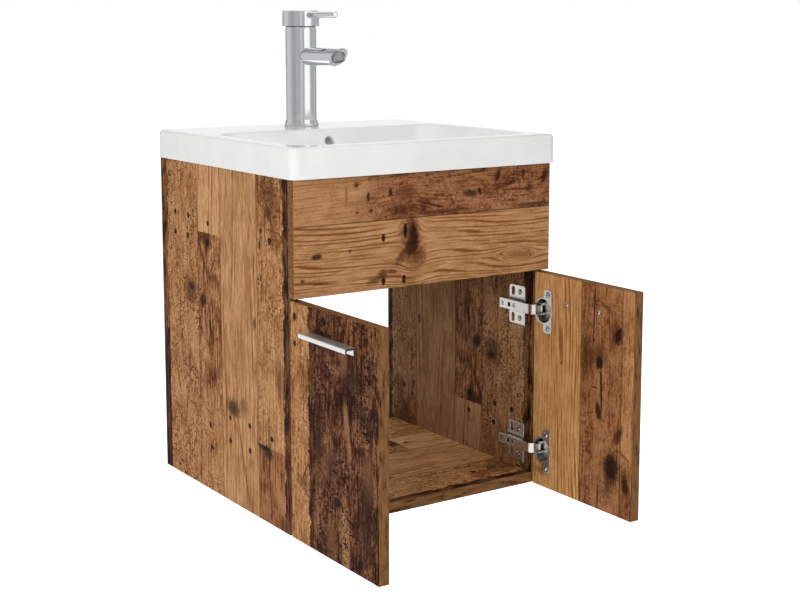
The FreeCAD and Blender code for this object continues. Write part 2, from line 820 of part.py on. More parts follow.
def lever_cap():
    bottom = tap_axis + Z_AXIS * cap_bottom
    top = tap_axis + Z_AXIS * cap_top
    cap = rod(cap_radius, bottom, top)
    rims = [edge for edge in cap.Edges if edge.BoundBox.ZMin > top.z - 1e-4]
    cap = cap.makeFillet(cap_rounding, rims)
    roof = top - Z_AXIS * cap_roof
    cap = cap.cut(rod(cap_radius - cap_wall, bottom, roof))
    stalk = box(around(0, stalk_width), around(tap_axis.y, stalk_width),
                (tap_axis.z + tap_pivot_height - stalk_below_pin, roof.z))
    cap = joined([cap, stalk])
    return cap.cut([lever_pin(lever_pin_fit), lever_rod(seat_clearance)])


def tap_stud(clearance=0.0):
    """Threaded rod from the tap's underside down through the deck."""
    top = tap_axis + Vector(0, -stud_offset, tap_gasket + stud_grip)
    return rod(stud_radius + clearance, top - Z_AXIS * (stud_length + clearance), top + Z_AXIS * clearance)


def horseshoe(start_drop, thickness):
    """Clamp plate under the deck, open behind where the supply pipes pass."""
    under = tap_axis - Z_AXIS * (basin_deck_thickness + start_drop)
    plate = rod(clamp_radius, under - Z_AXIS * thickness, under)
    mouth = box(around(0, clamp_mouth), (tap_axis.y, tap_axis.y + clamp_radius),
                (under.z - thickness, under.z))
    return plate.cut([mouth, tap_stud(seat_clearance)])


def hexagon(flats, start, end):
    corner = flats / math.sqrt(3)
    points = []
    for turn in range(7):
        angle = math.radians(60 * turn)
        points.append(start + Vector(corner * math.cos(angle), corner * math.sin(angle), 0))
    return Part.Face(Part.makePolygon(points)).extrude(end - start)


def stud_nut():
    drop = basin_deck_thickness + clamp_rubber + clamp_steel
    top = tap_axis + Vector(0, -stud_offset, -drop)
    return hexagon(stud_nut_flats, top, top - Z_AXIS * stud_nut_height).cut(tap_stud(seat_clearance))


# Waste


def waste_point(z):
    return Vector(0, drain_y, z)


def waste_body():
    """Flanged tail with overflow slots, a thread relief below the nut and an armed guide for the plug."""
    floor = waste_point(bowl_floor_z)
    end = floor - Z_AXIS * waste_tail_length
    bore_radius = waste_tail_radius - waste_tail_wall
    pieces = [
        rod(waste_tail_radius, end, floor),
        rod(waste_flange_radius, floor, floor + Z_AXIS * waste_flange_height),
    ]
    tail = joined(pieces)
    rim = [edge for edge in tail.Edges if edge.BoundBox.ZMin > floor.z + waste_flange_height - 1e-4]
    tail = tail.makeFillet(waste_flange_rounding, rim)
    tail = tail.cut(rod(bore_radius, end, floor + Z_AXIS * waste_flange_height))
    slot_top = bowl_floor_z - bowl_wall
    slot = box(around(0, waste_slot_width), around(drain_y, 2 * drain_radius),
               (slot_top - overflow_duct_depth, slot_top))
    relief_top = waste_point(waste_seat_z - waste_seal_height - waste_nut_height)
    relief_end = relief_top - Z_AXIS * waste_relief_width
    relief = ring(2 * waste_tail_radius, waste_tail_radius - waste_relief_depth, relief_end, relief_top)
    tail = tail.cut([slot, relief])
    guide_top = floor - Z_AXIS * (guide_drop + overflow_duct_depth)
    guide_end = guide_top - Z_AXIS * guide_height
    hub = rod(plug_stem_radius + plug_fit + guide_wall, guide_end, guide_top)
    arms = []
    for turn in range(guide_arms):
        arm = box((0, bore_radius + waste_tail_wall / 2), around(drain_y, guide_arm_width),
                  (guide_end.z, guide_top.z))
        arm.rotate(waste_point(0), Z_AXIS, 90 + 360 * turn / guide_arms)
        arms.append(arm)
    body = joined([tail, hub] + arms)
    return body.cut(rod(plug_stem_radius + plug_fit, guide_end, guide_top))


def waste_plug():
    seat = waste_point(bowl_floor_z + waste_flange_height + plug_gap)
    top = seat + Z_AXIS * plug_height
    cap = rod(plug_radius, seat, top)
    rim = [edge for edge in cap.Edges if edge.BoundBox.ZMin > top.z - 1e-4]
    cap = cap.makeFillet(plug_rounding, rim)
    return joined([cap, rod(plug_stem_radius, seat - Z_AXIS * plug_stem_length, seat)])


def waste_seal():
    under = waste_point(waste_seat_z)
    end = under - Z_AXIS * waste_seal_height
    return ring(waste_seal_radius, waste_tail_radius + seat_clearance, end, under)


def waste_nut():
    top = waste_point(waste_seat_z - waste_seal_height)
    end = top - Z_AXIS * waste_nut_height
    nut = rod(waste_nut_radius, end, top)
    for turn in range(waste_nut_ribs):
        angle = 2 * math.pi * turn / waste_nut_ribs
        offset = Vector(waste_nut_radius * math.cos(angle), waste_nut_radius * math.sin(angle), 0)
        nut = nut.cut(rod(waste_nut_height / 2, end + offset, top + offset))
    return nut.cut(rod(waste_tail_radius + seat_clearance, end, top))


def build():
    os.makedirs("parts", exist_ok=True)
    cams, dowels = board_joints()
    holes = joint_holes()

    left_side = side_panel(holes)
    save("left_side_panel", left_side)
    save("right_side_panel", mirrored(left_side))
    save("bottom_panel", bottom_panel(holes))
    save("front_panel", front_panel(holes))
    save("back_rail", back_rail(holes))
    save("cam_discs", *[cam_disc(*joint) for joint in cams])
    save("cam_bolts", *[cam_bolt(edge, into) for edge, into, _ in cams])
    save("dowels", *[dowel(edge, into) for edge, into in dowels])

    hinge = {"plate": hinge_plate(), "arm": hinge_arm(), "cup": hinge_cup()}
    plate_screw_set = []
    arm_screw_set = []
    for side, placed in (("left", lambda shape: shape), ("right", mirrored)):
        save(side + "_door", placed(door()))
        save(side + "_handle", placed(handle()))
        save(side + "_handle_screws", *[placed(screw) for screw in handle_screws()])
        cup_screw_set = []
        pins = []
        for place, level in hinge_levels.items():
            for piece, shape in hinge.items():
                save(side + "_" + place + "_hinge_" + piece, *raised([placed(shape)], level))
            cup_screw_set.extend(raised([placed(screw) for screw in cup_screws()], level))
            pins.extend(raised([placed(hinge_pin())], level))
            plate_screw_set.extend(raised([placed(screw) for screw in plate_screws()], level))
            arm_screw_set.extend(raised([placed(screw) for screw in arm_screws()], level))
        save(side + "_cup_screws", *cup_screw_set)
        save(side + "_hinge_pins", *pins)
    save("hinge_plate_screws", *plate_screw_set)
    save("hinge_arm_screws", *arm_screw_set)

    save("basin", basin())

    save("tap_gasket", tap_gasket_ring())
    save("tap_body", tap_body())
    save("tap_aerator", aerator())
    save("tap_cartridge", tap_cartridge())
    save("cartridge_nut", cartridge_nut())
    save("tap_dome_cover", dome_cover())
    save("tap_stem", tap_stem())
    save("lever_pin", lever_pin())
    save("lever_cap", lever_cap())
    save("lever_rod", lever_rod())
    save("tap_stud", tap_stud())
    save("tap_clamp_rubber", horseshoe(0, clamp_rubber))
    save("tap_clamp_plate", horseshoe(clamp_rubber, clamp_steel))
    save("tap_stud_nut", stud_nut())

    save("waste_body", waste_body())
    save("waste_plug", waste_plug())
    save("waste_seal", waste_seal())
    save("waste_nut", waste_nut())


build()
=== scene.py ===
import bpy
import math
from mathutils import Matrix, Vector

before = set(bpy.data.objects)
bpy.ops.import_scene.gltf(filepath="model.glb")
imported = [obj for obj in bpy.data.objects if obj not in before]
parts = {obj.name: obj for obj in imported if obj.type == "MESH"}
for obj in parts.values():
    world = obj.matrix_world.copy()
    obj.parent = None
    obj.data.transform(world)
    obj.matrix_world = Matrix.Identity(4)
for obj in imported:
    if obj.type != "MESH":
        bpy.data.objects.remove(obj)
scene = bpy.context.scene
mmPerMetre = 1000.0  # the frame is in metres, the patterns are given in millimetres


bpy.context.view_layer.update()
print("frame loaded:", len(parts), "nodes")


# sRGB hex to the linear colour that shaders take
def toLinear(hexText):
    channels = [int(hexText[i:i + 2], 16) / 255 for i in (1, 3, 5)]
    return tuple(c / 12.92 if c <= 0.04045 else ((c + 0.055) / 1.055) ** 2.4 for c in channels) + (1.0,)


# Adds a node: text keys are properties or sockets, numbers are sockets, links take a node or a socket.
# A colour Mix takes its factor at 0 and its colours at 6 and 7, and gives the mixed colour as output 2.
def add(tree, kind, settings=None, links=None):
    node = tree.nodes.new("ShaderNode" + kind)
    for key, value in (settings or {}).items():
        if isinstance(key, str) and key in node.bl_rna.properties:
            setattr(node, key, value)
        else:
            node.inputs[key].default_value = value
    for key, source in (links or {}).items():
        if isinstance(source, bpy.types.Node):
            source = [out for out in source.outputs if out.enabled][0]
        tree.links.new(source, node.inputs[key])
    return node


# the four range sockets of a MapRange
def span(fromLow, fromHigh, toLow=0.0, toHigh=1.0):
    return {1: fromLow, 2: fromHigh, 3: toLow, 4: toHigh}


# how far a value is from a line
def distanceFrom(tree, value, line):
    off = add(tree, "Math", {"operation": "SUBTRACT", 1: line}, {0: value})
    return add(tree, "Math", {"operation": "ABSOLUTE"}, {0: off})


# gives a ramp its stops, all positions before any colour
def setStops(ramp, positions, colors):
    stops = ramp.color_ramp.elements
    while len(stops) < len(positions):
        stops.new(0.5)
    for index, position in enumerate(positions):
        stops[index].position = position
    for index, color in enumerate(colors):
        stops[index].color = color


def newMaterial(name):
    material = bpy.data.materials.new(name)
    material.use_nodes = True
    material.node_tree.nodes.clear()
    return material, material.node_tree


def dress(names, material):
    for name in names:
        piece = parts[name]
        piece.data.materials.clear()
        piece.data.materials.append(material)


# Reclaimed-plank foil on chipboard: printed planks in brown tones, with saw marks, knots and nail holes.
# Every print is drawn in millimetres: s runs across the planks, t along the grain.
# A plank is (start, wood, speckle, lines, mottle). A patch gives s and t ranges and softness, then the same.
# A mark is (s, t, half width, half length, turn in degrees, colour, softness).
# A wood is its dark, middle and light tone: smoke-dark boards, sun-bleached ones and what lies between.
woods = {
    "charred": ("#0a0100", "#300e04", "#643214"),
    "tarred": ("#100200", "#44200c", "#8c5e3c"),
    "smoked": ("#1e0600", "#462410", "#704830"),
    "walnut": ("#220800", "#58301a", "#906040"),
    "umber": ("#160300", "#643a1c", "#986838"),
    "chestnut": ("#5e3117", "#915e3b", "#a97652"),
    "copper": ("#603117", "#9d6a43", "#b37e52"),
    "russet": ("#502810", "#905c38", "#c89460"),
    "oak": ("#986840", "#b28258", "#c29468"),
    "honey": ("#704018", "#ac784c", "#ca9a6a"),
    "golden": ("#8e5d32", "#bd8953", "#e2b37d"),
    "straw": ("#7e5028", "#b08054", "#d4a478"),
    "bleached": ("#946038", "#c29064", "#e2b484"),
}
nailHole = "#1b0d07"
knotDark = "#2c1409"

sidePrint = {
    "width": 370,
    "planks": [
        (0, "umber", 0.3, 0.5, 0.9),
        (20, "honey", 0.9, 0.0, 0.35),
        (116, "russet", 0.5, 0.2, 0.7),
        (185, "straw", 0.0, 0.35, 0.3),
        (241, "straw", 0.0, 0.45, 0.3),
        (288, "honey", 0.85, 0.2, 0.55),
        (356, "smoked", 0.3, 0.5, 0.9),
    ],
    "patches": [
        ((116, 185), (-60, 95), 0.4, "bleached", 0.1, 0.6, 0.2),
        ((116, 185), (315, 560), 40, "honey", 0.6, 0.2, 0.35),
        ((288, 356), (190, 357), 50, "straw", 0.5, 0.5, 0.35),
        ((288, 356), (357, 560), 0.4, "chestnut", 0.3, 0.5, 0.8),
        ((0, 20), (250, 560), 6, "charred", 0.2, 0.4, 0.8),
    ],
    "seams": [116, 185, 288],
    "tornEdges": [20, 356],
    "linePitch": 10.0,
    "eyes": [],
    "marks": [
        (46, 75, 3.8, 4.1, 0, nailHole, 0.4), (88, 76, 3.8, 4.1, 0, nailHole, 0.4),
        (46, 104, 4.1, 4.3, 0, nailHole, 0.4), (85, 105, 3.6, 3.8, 0, nailHole, 0.4),
        (149, 81, 3.8, 3.8, 0, nailHole, 0.4),
        (91, 186, 16, 17, 20, "#56351f", 1.3), (95, 176, 9, 5, 0, "#25130b", 0.9),
        (144, 105, 14, 9, 15, "#4b2a1a", 1.2), (147, 108, 4.8, 6, 30, nailHole, 0.4),
        (131, 190, 9, 9, 0, "#150b07", 0.9), (152, 226, 3.5, 16, -8, "#2c160c", 0.9),
        (131, 130, 2.5, 22, -25, "#4a2917", 1.2), (160, 140, 2.0, 15, 30, "#4a2917", 1.2),
        (147, 366, 4.1, 4.1, 0, nailHole, 0.4), (150, 397, 4.3, 3.8, 0, nailHole, 0.4),
        (217, 326, 17, 12, 10, "#2a1a10", 1.1), (246, 318, 10, 12, 0, "#7b5335", 1.5),
        (207, 342, 3.6, 3.6, 0, nailHole, 0.4), (263, 340, 3.8, 3.8, 0, nailHole, 0.4),
        (207, 374, 3.8, 4.1, 0, nailHole, 0.4), (263, 374, 4.1, 4.3, 0, nailHole, 0.4),
        (238, 372, 1.4, 34, -12, "#5b3a22", 1.0), (252, 420, 1.3, 30, -14, "#5b3a22", 1.0),
        (226, 352, 1.2, 18, -35, "#6d482c", 1.0), (268, 446, 1.2, 18, 10, "#5b3a22", 1.0),
        (280, 199, 5, 8, 0, "#6a4026", 1.0), (272, 62, 3, 8, -20, "#8b5b38", 1.2),
        (262, 150, 6, 34, -6, "#9b6a43", 1.5),
        (321, 50, 6, 9, 0, "#3a2013", 1.2), (323, 84, 4.3, 5, 0, nailHole, 0.4),
        (299, 74, 2.6, 4.0, 0, "#2c160c", 0.9), (296, 92, 2.8, 6, 0, "#2c160c", 0.9),
        (308, 22, 20, 14, 0, "#6f452b", 1.6), (332, 30, 14, 24, 0, "#64402a", 1.6),
        (323, 344, 4.1, 4.1, 0, nailHole, 0.4), (313, 364, 12, 8, 0, "#25130b", 1.2),
        (302, 360, 17, 3.2, 3, "#1f0f08", 0.7),
        (344, 262, 8, 26, 0, "#6d4229", 1.5), (84, 292, 3, 22, 6, "#5f3b23", 1.2),
        (48, 320, 2, 30, -18, "#714828", 1.2), (74, 350, 1.6, 34, 14, "#6d452a", 1.2),
    ],
}

frontPrint = {
    "width": 150,
    "planks": [
        (0, "chestnut", 0.6, 0.2, 0.7),
        (60, "straw", 0.0, 0.95, 0.15),
    ],
    "patches": [((-20, 60), (-80, 110), 70, "oak", 0.2, 0.5, 0.3)],
    "seams": [60],
    "tornEdges": [],
    "linePitch": 5.2,
    "eyes": [(87, 178, 21, 10), (124, 352, 9, 34)],
    "marks": [
        (92, 176, 34, 14, 6, "#6a4224", 1.5), (86, 180, 24, 8, 5, "#43230f", 1.1),
        (84, 181, 17, 5.5, 4, knotDark, 0.9), (100, 174, 10, 7, 0, "#2b1409", 1.0),
        (76, 167, 9.6, 3.1, 0, nailHole, 0.4), (103, 168, 4, 9, 30, "#4e2e18", 1.2),
        (110, 190, 11, 9, 0, "#6a3f22", 1.4), (114, 158, 5, 9, 35, "#5a351c", 1.5),
        (131, 132, 6, 7, 20, "#4c2c16", 1.4), (138, 118, 4, 9, 10, "#5a371d", 1.5),
        (128, 146, 3, 8, -10, "#5a351c", 1.3), (99, 33, 3.6, 8, 0, "#2a160a", 0.9),
        (83, 133, 5.3, 2.8, 0, nailHole, 0.4), (140, 133, 5.3, 3, 0, nailHole, 0.4),
        (140, 165, 5.5, 2.9, 0, nailHole, 0.4), (96, 82, 1.6, 3.0, 40, "#3a200f", 0.8),
        (134, 38, 1.6, 16, -4, "#5d3a1f", 1.0), (128, 12, 2.2, 3, 0, "#4b2b17", 0.9),
        (124, 360, 5, 26, -2, "#8b5c34", 1.5),
        (28, 110, 5.6, 2.3, 0, "#2c160b", 0.8), (47, 114, 3.0, 3.4, 0, "#4a2a17", 1.0),
        (12, 92, 3.2, 4.0, 20, "#4a2a17", 1.0), (47, 93, 2.0, 3.0, 0, "#4a2a17", 1.0),
        (22, 77, 15, 2.0, 0, "#8a5d39", 1.2), (24, 144, 5.5, 2.6, 0, "#2c160b", 0.8),
        (48, 160, 8, 17, 0, "#4d2b18", 1.4), (26, 165, 9, 16, 0, "#6b422a", 1.4),
        (45, 210, 1.8, 20, -14, "#3d2112", 0.8), (48, 196, 5, 5, 0, "#44261a", 1.0),
        (55, 225, 3, 46, 0, "#4f2e1c", 1.3), (34, 272, 4.4, 12, -10, "#341b0f", 1.0),
        (32, 288, 5.5, 2.6, 20, "#24110a", 0.8), (14, 318, 10, 4, -20, "#2e170d", 1.0),
        (24, 340, 3.0, 12, 18, "#3f2214", 1.0), (12, 362, 6, 3, 0, "#3a2012", 0.9),
        (32, 372, 5, 7, 30, "#4a2a19", 1.1), (18, 400, 10, 5, -25, "#2c160c", 1.0),
        (56, 380, 3, 30, 0, "#52301e", 1.3),
    ],
}

darkDoorPrint = {
    "width": 203,
    "planks": [
        (0, "honey", 0.7, 0.2, 0.45),
        (45, "smoked", 0.4, 0.2, 0.8),
        (55, "walnut", 1.0, 0.2, 0.8),
        (188, "tarred", 0.8, 0.2, 0.8),
    ],
    "patches": [],
    "seams": [],
    "tornEdges": [45, 188],
    "linePitch": 9.0,
    "eyes": [],
    "marks": [
        (12, 18, 3.6, 5.3, 0, nailHole, 0.4), (12, 52, 3.6, 4.1, 0, nailHole, 0.4),
        (30, 226, 10, 9, 0, "#6f4729", 1.5), (35, 212, 1.6, 14, 30, "#4b2b18", 1.0),
        (134, 132, 4.5, 26, -8, "#9b724e", 1.4), (140, 165, 4, 18, -4, "#93694a", 1.4),
        (126, 262, 8, 40, -5, "#9a7049", 1.5), (132, 295, 7, 24, 0, "#a07750", 1.5),
        (180, 185, 9, 28, 0, "#7d5538", 1.5), (128, 60, 8, 12, 0, "#8a6243", 1.5),
        (111, 232, 11, 7, 0, "#1f0e07", 1.3), (150, 70, 26, 22, 0, "#2f180d", 1.6),
        (165, 110, 20, 12, 30, "#2a150b", 1.6), (176, 232, 16, 44, 0, "#2c160c", 1.6),
        (86, 40, 22, 14, 0, "#3f2315", 1.6), (70, 150, 8, 60, 0, "#3a2013", 1.6),
        (98, 288, 12, 22, 0, "#7a5033", 1.6), (100, 190, 14, 20, 0, "#42261a", 1.6),
    ],
}

goldenDoorPrint = {
    "width": 203,
    "planks": [
        (0, "golden", 0.0, 0.3, 0.2),
        (45, "golden", 0.0, 0.85, 0.15),
        (100, "chestnut", 0.55, 0.2, 0.55),
        (127, "copper", 0.5, 0.15, 0.4),
        (181, "honey", 0.3, 0.3, 0.3),
    ],
    "patches": [((181, 203), (235, 400), 30, "chestnut", 0.6, 0.4, 0.9)],
    "seams": [100, 181],
    "tornEdges": [127],
    "linePitch": 6.0,
    "eyes": [],
    "marks": [
        (126, 40, 1.6, 50, 2, "#3b1e0f", 0.9), (150, 28, 10, 3, 25, "#5b351f", 1.3),
        (137, 105, 6.5, 9, 12, "#170a05", 0.8), (137, 94, 11, 16, 0, "#4e2a15", 1.4),
        (142, 140, 2.4, 30, -3, "#241007", 0.9), (128, 140, 7, 1.6, 0, "#4a2817", 1.1),
        (137, 171, 5.8, 13, -10, "#140905", 0.8), (174, 62, 7, 11, 20, "#1a0b05", 0.9),
        (168, 60, 9, 20, 10, "#57311c", 1.5), (165, 243, 14, 20, 0, "#170a05", 0.9),
        (158, 260, 14, 28, 10, "#54301c", 1.6), (147, 262, 4, 16, -8, "#9a6b47", 1.3),
        (192, 262, 7, 13, -12, "#170a05", 0.9), (176, 196, 6, 14, 30, "#3c1e0f", 1.2),
        (110, 95, 9, 30, 0, "#54301c", 1.6), (138, 290, 1.5, 22, 0, "#32190d", 1.0),
        (92, 262, 1.4, 12, 0, "#4b2c17", 0.9), (20, 284, 14, 5, 10, "#7a5230", 1.5),
        (190, 222, 10, 2.0, 25, "#6b4224", 1.1), (60, 120, 1.2, 3, 0, "#4b2c17", 0.9),
    ],
}

# Sizes of the grain in millimetres: across, along, then detail, roughness and distortion of the noise.
# The specks, flecks and tracks are the torn fibre and worm tracks of rough-sawn wood. Single fibres are too
# fine to show, so they are drawn as coarse as bundles.
grainSizes = {
    "drift": (80.0, 420.0, 1.0, 0.5, 0.0),
    "spacing": (11.0, 900.0, 0.0, 0.5, 0.0),
    "fade": (24.0, 140.0, 1.0, 0.5, 0.0),
    "fibre": (3.4, 34.0, 5.0, 0.64, 0.0),
    "grit": (2.5, 6.5, 2.0, 0.6, 0.4),
    "streak": (5.0, 170.0, 2.0, 0.5, 0.0),
    "mottle": (30.0, 52.0, 4.0, 0.62, 0.8),
    "speck": (5.8, 3.8, 1.5, 0.5, 0.6),
    "fleck": (13.0, 9.0, 2.5, 0.6, 1.0),
    "track": (24.0, 17.0, 1.0, 0.5, 1.2),
    "cluster": (50.0, 60.0, 2.0, 0.5, 0.4),
}

# How the grain shows. Tone runs from 0, dark, to 1, light. A gain has the plank's kind that drives it
# (0 speckle, 1 lines, 2 mottle), what that kind adds, and what every plank has. A range is of a noise,
# from and to, and then what it becomes where that isn't 0 to 1.
grainLook = {
    "seedStart": 0.11, "seedStep": 0.37, "patchSeed": 0.83, "seedJumpMm": 5000.0,
    "eyeCore": 0.35,
    "ringDriftMm": 34.0, "ringUnevenMm": 9.0, "ringSharpness": 5.0, "ringGain": -0.9,
    "ringFade": (0.36, 0.62, 0.15, 1.0),
    "middleTone": 0.56, "noiseMiddle": 0.5,
    "gains": {"fibre": (2, 1.1, 0.9), "mottle": (2, 2.6, 0.0), "grit": (0, 1.1, 0.35)},
    "streaks": (0.38, 0.28, 0.0, -0.6),
    "darkToMiddle": (0.08, 0.5), "middleToLight": (0.5, 0.95),
    "specks": (0.43, 0.39), "flecks": (0.39, 0.35), "tracks": (0.006, 0.016, 0.8, 0.0),
    "clusters": (0.4, 0.58, 0.12, 1.0), "bareWood": (0.46, 0.56, 1.0, 0.0),
    "deepTint": (0.5, 0.42, 0.36, 1.0),
    "roughness": (0.66, 0.52),
}

# Edges of planks and marks: the size of a torn or ragged line's turns in millimetres, across and along, and
# how far it strays, a plank's tear in millimetres and a mark's rag in shares of the mark's own size.
edgeLook = {
    "tear": {"turnMm": (50.0, 22.22), "detail": 5.0, "roughness": 0.72, "reach": 20.0},
    "rag": {"turnMm": (4.545, 6.25), "detail": 4.0, "roughness": 0.7, "reach": 1.8},
    "tearFadeMm": (7.0, 14.0), "patchSideMm": 0.3,
    "seamMm": (0.4, 1.3), "seamCover": 0.6, "seamTone": "#2a160c",
    "markRag": 0.7, "markSpread": 0.5, "markFade": 0.12,
    "stainSoftness": 1.3,  # a mark as soft as this is a stain
}


# how far a ragged line strays, half of its reach to each side
def wander(tree, place, look):
    acrossMm, alongMm = look["turnMm"]
    sized = add(tree, "Mapping", {"Scale": (1 / acrossMm, 1 / alongMm, 1)}, {"Vector": place})
    noise = add(tree, "TexNoise", {"noise_dimensions": "2D", "Scale": 1.0, "Detail": look["detail"],
                                   "Roughness": look["roughness"]}, {"Vector": sized})
    reach = look["reach"]
    return add(tree, "Math", {"operation": "MULTIPLY_ADD", 1: reach, 2: -reach / 2}, {0: noise})


# lays elliptical marks with ragged edges over a colour
def drawMarks(tree, marks, place, rag, color):
    for s, t, halfWidth, halfLength, degrees, hexText, soft in marks:
        local = add(tree, "Mapping", {"vector_type": "TEXTURE", "Location": (s, t, 0),
                                      "Rotation": (0, 0, math.radians(degrees)),
                                      "Scale": (halfWidth, halfLength, 1)}, {"Vector": place})
        reach = add(tree, "VectorMath", {"operation": "LENGTH"}, {0: local}).outputs[1]
        ragged = add(tree, "Math", {"operation": "MULTIPLY_ADD", 1: edgeLook["markRag"] * soft},
                     {0: rag, 2: reach})
        spread = edgeLook["markSpread"] * soft
        most = 1.0 - edgeLook["markFade"] * soft
        cover = add(tree, "MapRange", {"interpolation_type": "SMOOTHSTEP",
                                       **span(1.0 - spread, 1.0 + spread, most, 0.0)}, {0: ragged})
        color = add(tree, "Mix", {"data_type": "RGBA", 7: toLinear(hexText)}, {0: cover, 6: color}).outputs[2]
    return color


# torn plank edges wander by a few millimetres; sawn ones stay straight
def tornAcross(tree, layout, place, axes):
    tear = wander(tree, place, edgeLook["tear"])
    edged = axes.outputs[0]
    for s in layout["tornEdges"]:
        far = distanceFrom(tree, axes.outputs[0], s)
        near = add(tree, "MapRange", span(*edgeLook["tearFadeMm"], 1.0, 0.0), {0: far})
        edged = add(tree, "Math", {"operation": "MULTIPLY_ADD"}, {0: tear, 1: near, 2: edged})
    return add(tree, "MapRange", span(0.0, layout["width"]), {0: edged})


# stepped ramps give each plank its three tones, its surface kinds and its own piece of the noise
def plankRamps(tree, layout, across):
    planks = layout["planks"]
    columns = [[toLinear(woods[plank[1]][tone]) for plank in planks] for tone in range(3)]
    columns.append([plank[2:5] + (1.0,) for plank in planks])
    shades = [(index * grainLook["seedStep"] + grainLook["seedStart"]) % 1.0 for index in range(len(planks))]
    columns.append([(shade, shade, shade, 1.0) for shade in shades])
    ramps = []
    for colors in columns:
        ramp = add(tree, "ValToRGB", None, {0: across})
        ramp.color_ramp.interpolation = "CONSTANT"
        setStops(ramp, [plank[0] / layout["width"] for plank in planks], colors)
        ramps.append(ramp.outputs[0])
    return ramps


# lays another wood over part of a plank; the noise switches at a crisp line
def layPatches(tree, layout, axes, ramps):
    seed = grainLook["patchSeed"]
    for sRange, tRange, soft, wood, *kinds in layout["patches"]:
        masks = []
        for axis, (low, high), edge in ((0, sRange, edgeLook["patchSideMm"]), (1, tRange, soft)):
            far = distanceFrom(tree, axes.outputs[axis], (low + high) / 2)
            half = (high - low) / 2
            ending = {"interpolation_type": "SMOOTHSTEP", **span(half - edge / 2, half + edge / 2, 1.0, 0.0)}
            masks.append(add(tree, "MapRange", ending, {0: far}))
        inside = add(tree, "Math", {"operation": "MULTIPLY"}, {0: masks[0], 1: masks[1]})
        crisp = add(tree, "Math", {"operation": "GREATER_THAN", 1: 0.5}, {0: inside})
        swaps = [(toLinear(tone), inside) for tone in woods[wood]]
        swaps.append((tuple(kinds) + (1.0,), inside))
        swaps.append(((seed, seed, seed, 1.0), crisp))
        ramps = [add(tree, "Mix", {"data_type": "RGBA", 7: new}, {0: mask, 6: old}).outputs[2]
                 for old, (new, mask) in zip(ramps, swaps)]
    return ramps


# grain flows round each eye as water does round a stone
def flowRound(tree, layout, place, axes):
    flow = axes.outputs[0]
    for s, t, halfWidth, halfLength in layout["eyes"]:
        off = add(tree, "Math", {"operation": "SUBTRACT", 1: s}, {0: axes.outputs[0]})
        local = add(tree, "Mapping", {"vector_type": "TEXTURE", "Location": (s, t, 0),
                                      "Scale": (halfWidth, halfLength, 1)}, {"Vector": place})
        square = add(tree, "VectorMath", {"operation": "DOT_PRODUCT"}, {0: local, 1: local}).outputs[1]
        far = add(tree, "Math", {"operation": "MAXIMUM", 1: grainLook["eyeCore"]}, {0: square})
        bend = add(tree, "Math", {"operation": "DIVIDE"}, {0: off, 1: far})
        flow = add(tree, "Math", {"operation": "SUBTRACT"}, {0: flow, 1: bend})
    return flow


# tone runs from 0, dark, to 1, light
def grainTone(tree, layout, flow, noises, kinds):
    # growth lines: thin and dark, unevenly spaced, each fading in and out along the plank
    drifted = add(tree, "Math", {"operation": "MULTIPLY_ADD", 1: grainLook["ringDriftMm"]},
                  {0: noises["drift"], 2: flow})
    uneven = add(tree, "Math", {"operation": "MULTIPLY_ADD", 1: grainLook["ringUnevenMm"]},
                 {0: noises["spacing"], 2: drifted})
    turn = add(tree, "Math", {"operation": "MULTIPLY", 1: 2 * math.pi / layout["linePitch"]}, {0: uneven})
    wave = add(tree, "Math", {"operation": "SINE"}, {0: turn})
    ring = add(tree, "MapRange", span(-1.0, 1.0), {0: wave})
    thin = add(tree, "Math", {"operation": "POWER", 1: grainLook["ringSharpness"]}, {0: ring})
    fade = add(tree, "MapRange", span(*grainLook["ringFade"]), {0: noises["fade"]})
    seen = add(tree, "Math", {"operation": "MULTIPLY"}, {0: thin, 1: fade})
    ringGain = add(tree, "Math", {"operation": "MULTIPLY", 1: grainLook["ringGain"]}, {0: kinds[1]})
    tone = add(tree, "Math", {"operation": "MULTIPLY_ADD", 2: grainLook["middleTone"]},
               {0: seen, 1: ringGain})
    streak = add(tree, "MapRange", span(*grainLook["streaks"]), {0: noises["streak"]})
    tone = add(tree, "Math", {"operation": "MULTIPLY_ADD"}, {0: streak, 1: kinds[2], 2: tone})
    for label, (kind, added, always) in grainLook["gains"].items():
        off = add(tree, "Math", {"operation": "SUBTRACT", 1: grainLook["noiseMiddle"]}, {0: noises[label]})
        gain = add(tree, "Math", {"operation": "MULTIPLY_ADD", 1: added, 2: always}, {0: kinds[kind]})
        tone = add(tree, "Math", {"operation": "MULTIPLY_ADD"}, {0: off, 1: gain, 2: tone})
    tone.use_clamp = True
    return tone


# rough-sawn speckle: crisp specks and torn flecks in clusters, with worm tracks as contour lines of a noise
def speckleCover(tree, noises, speckle):
    spots = [add(tree, "MapRange", {"interpolation_type": "SMOOTHSTEP", **span(*grainLook[label + "s"])},
                 {0: noises[label]}) for label in ("speck", "fleck")]
    cluster = add(tree, "MapRange", span(*grainLook["clusters"]), {0: noises["cluster"]})
    torn = add(tree, "Math", {"operation": "MAXIMUM"}, {0: spots[0], 1: spots[1]})
    torn = add(tree, "Math", {"operation": "MULTIPLY"}, {0: torn, 1: cluster})
    contour = distanceFrom(tree, noises["track"], grainLook["noiseMiddle"])
    tracks = add(tree, "MapRange", span(*grainLook["tracks"]), {0: contour})
    bare = add(tree, "MapRange", span(*grainLook["bareWood"]), {0: noises["cluster"]})
    worms = add(tree, "Math", {"operation": "MULTIPLY"}, {0: tracks, 1: bare})
    torn = add(tree, "Math", {"operation": "MAXIMUM"}, {0: torn, 1: worms})
    return add(tree, "Math", {"operation": "MULTIPLY"}, {0: torn, 1: speckle})


